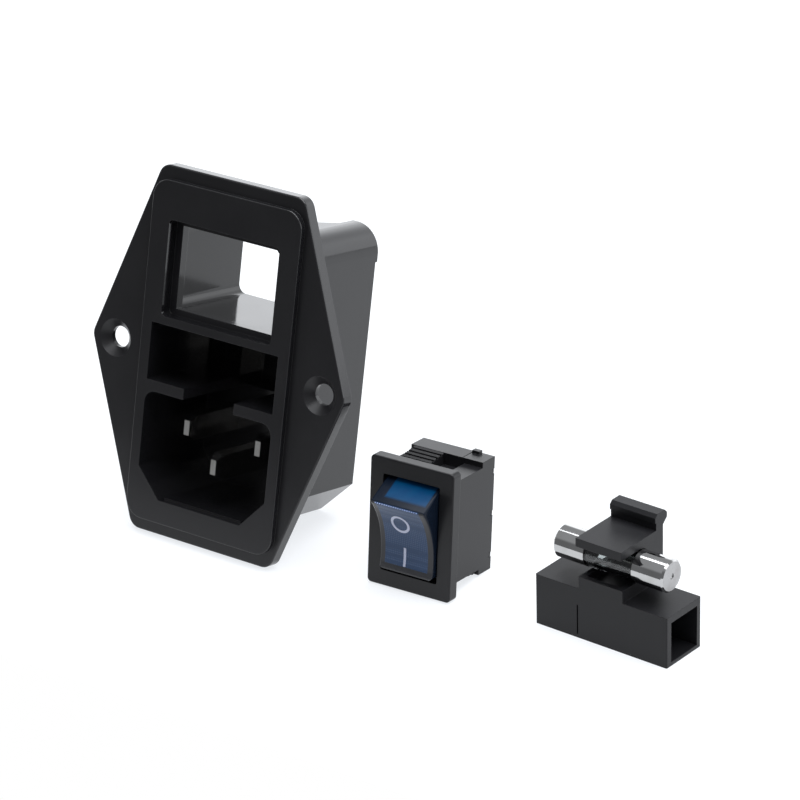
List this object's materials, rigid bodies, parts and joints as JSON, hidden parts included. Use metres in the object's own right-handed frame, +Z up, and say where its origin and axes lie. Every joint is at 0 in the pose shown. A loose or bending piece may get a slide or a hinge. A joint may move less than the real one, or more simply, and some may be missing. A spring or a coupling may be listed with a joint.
{
  "type": "power entry module",
  "caption": "Panel power entry module laid out for fitting: hexagonal flanged housing with inlet, snap-in lit rocker switch and fuse drawer with its glass fuse.",
  "frame": {"origin": "middle of the footprint of the whole set, on the surface that its three groups stand on", "axes": "+X runs along the row from the housing past the switch to the fuse drawer, along the flange's width; +Y points to the back, away from the faces; +Z is up"},
  "size_m": [0.1066, 0.036, 0.058],
  "materials": {
    "housing_plastic": "semi-gloss black moulding",
    "switch_plastic": "semi-gloss black moulding",
    "drawer_plastic": "semi-gloss black moulding",
    "nickel_plate": "bright nickel plate on brass",
    "silvered_brass": "silver plate on brass",
    "blue_plastic": "clear blue moulding",
    "white_nylon": "natural nylon",
    "spring_steel": "drawn wire",
    "lamp_glass": "clear glass",
    "resistor_coat": "lacquer",
    "fuse_glass": "clear glass",
    "fuse_cap_plate": "bright plated cap"
  },
  "bodies": {
    "base": {"housing": "housing_plastic", "line_pin": "nickel_plate", "neutral_pin": "nickel_plate", "earth_pin": "nickel_plate", "fuse_feed_contact": "nickel_plate", "fuse_load_contact": "nickel_plate", "switch_case": "switch_plastic", "switch_base": "switch_plastic", "common_terminal": "silvered_brass", "load_terminal": "silvered_brass", "lamp_terminal": "silvered_brass", "fixed_contact": "silvered_brass", "neon_lamp": "lamp_glass", "lamp_resistor": "resistor_coat", "fuse_drawer": "drawer_plastic", "fuse_glass": "fuse_glass", "fuse_cap_left": "fuse_cap_plate", "fuse_cap_right": "fuse_cap_plate", "fuse_wire": "silvered_brass"},
    "rocker": {"rocker": "blue_plastic", "rocker_plunger": "white_nylon", "plunger_spring": "spring_steel"},
    "contact_lever": {"contact_lever": "silvered_brass", "moving_contact": "silvered_brass"}
  },
  "joints": [
    {"name": "rocker_hinge", "type": "hinge", "parent": "base", "child": "rocker", "pos_m": [0.007, -0.00793, 0.01039], "axis": [-0.9991, -0.0419, 0], "range_deg": [0, 29]},
    {"name": "lever_hinge", "type": "hinge", "parent": "base", "child": "contact_lever", "pos_m": [0.00669, -0.00068, 0.00963], "axis": [0.9991, 0.0419, 0], "range_deg": [0, 14]}
  ],
  "couplings": [
    {"joint": "lever_hinge", "follows": "rocker_hinge", "ratio": 0.4827}
  ]
}
